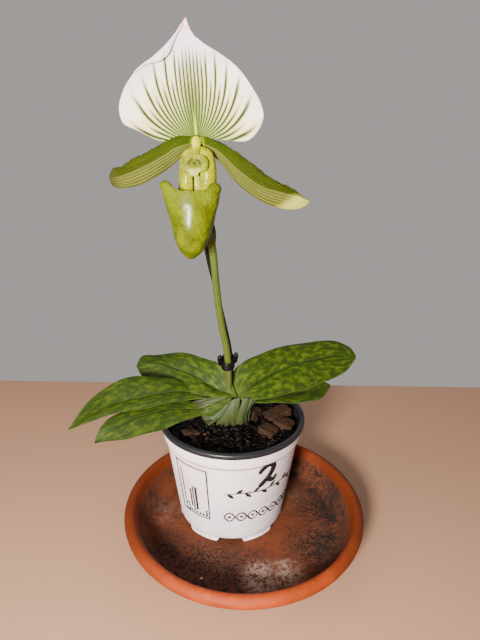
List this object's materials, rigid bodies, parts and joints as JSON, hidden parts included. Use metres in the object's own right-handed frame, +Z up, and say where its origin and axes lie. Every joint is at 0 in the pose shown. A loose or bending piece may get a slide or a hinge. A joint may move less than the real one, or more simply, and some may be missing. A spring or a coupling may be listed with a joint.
{
  "type": "potted slipper orchid",
  "caption": "Slipper orchid in flower: a green and white flower on a leaning stem over mottled leaves, in a white nursery pot on a round terracotta saucer.",
  "frame": {"origin": "centre of the saucer's flat underside, on the surface that the part stands on", "axes": "+Z up; the flower faces -Y; +X is to the right of someone who looks at the flower"},
  "size_m": [0.1745, 0.15, 0.2857],
  "materials": {
    "terracotta": "matte unglazed, with dark and chalky stains",
    "pot_plastic": "satin white outside, dark grey inside and on the rim",
    "bark_mix": "rough damp bark",
    "sheath": "satin",
    "leaf": "waxy, mottled light and dark green",
    "stem": "finely hairy",
    "black_plastic": "satin",
    "white_sepal": "soft satin, white with green veins",
    "petal": "soft satin, striped",
    "lip": "glossy"
  },
  "bodies": {
    "root": {"saucer": "terracotta", "pot": "pot_plastic", "potting_mix": "bark_mix", "crown": "sheath", "leaf_right_upper": "leaf", "leaf_right_lower": "leaf", "leaf_left_upper": "leaf", "leaf_left_middle": "leaf", "leaf_left_lower": "leaf", "leaf_young": "leaf", "flower_stem": "stem", "ovary": "stem", "bract": "stem", "stake": "black_plastic", "stem_clip": "black_plastic", "dorsal_sepal": "white_sepal", "lower_sepal": "petal", "petal_left": "petal", "petal_right": "petal", "lip": "lip", "column": "lip", "staminode": "lip"}
  },
  "joints": []
}
